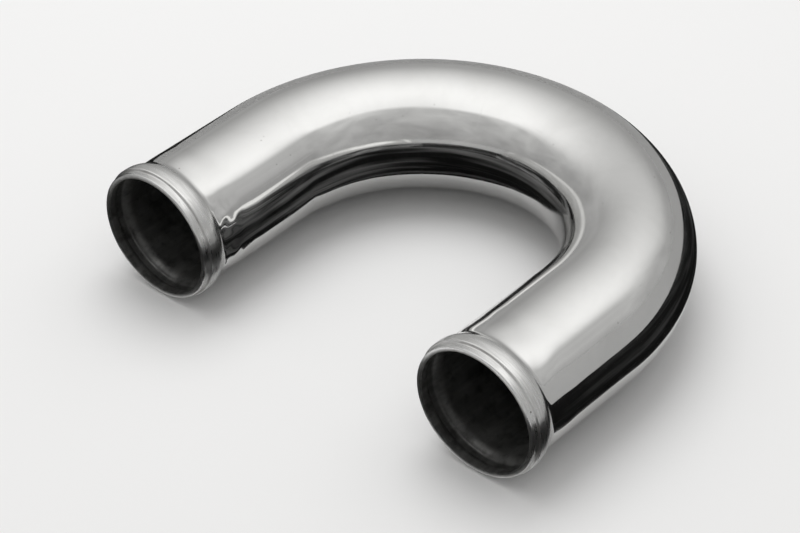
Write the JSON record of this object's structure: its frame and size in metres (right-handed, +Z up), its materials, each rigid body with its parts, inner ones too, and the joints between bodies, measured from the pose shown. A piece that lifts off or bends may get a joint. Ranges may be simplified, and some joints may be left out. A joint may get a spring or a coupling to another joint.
{
  "type": "return bend",
  "caption": "Polished aluminium tube bent back on itself into a U with parallel straight legs, each open end rolled into a hose bead; it turns a flow back the way it came.",
  "frame": {"origin": "under the middle of the bend's outline, on the surface it lies on", "axes": "+X across the legs, +Y from the open ends towards the bend, +Z up out of the plane of the U"},
  "size_m": [0.2104, 0.1644, 0.0544],
  "materials": {
    "polished_tube": "polished outside with fine drawing lines along the tube, dull mill finish inside"
  },
  "bodies": {
    "root": {"return_bend": "polished_tube"}
  },
  "joints": []
}
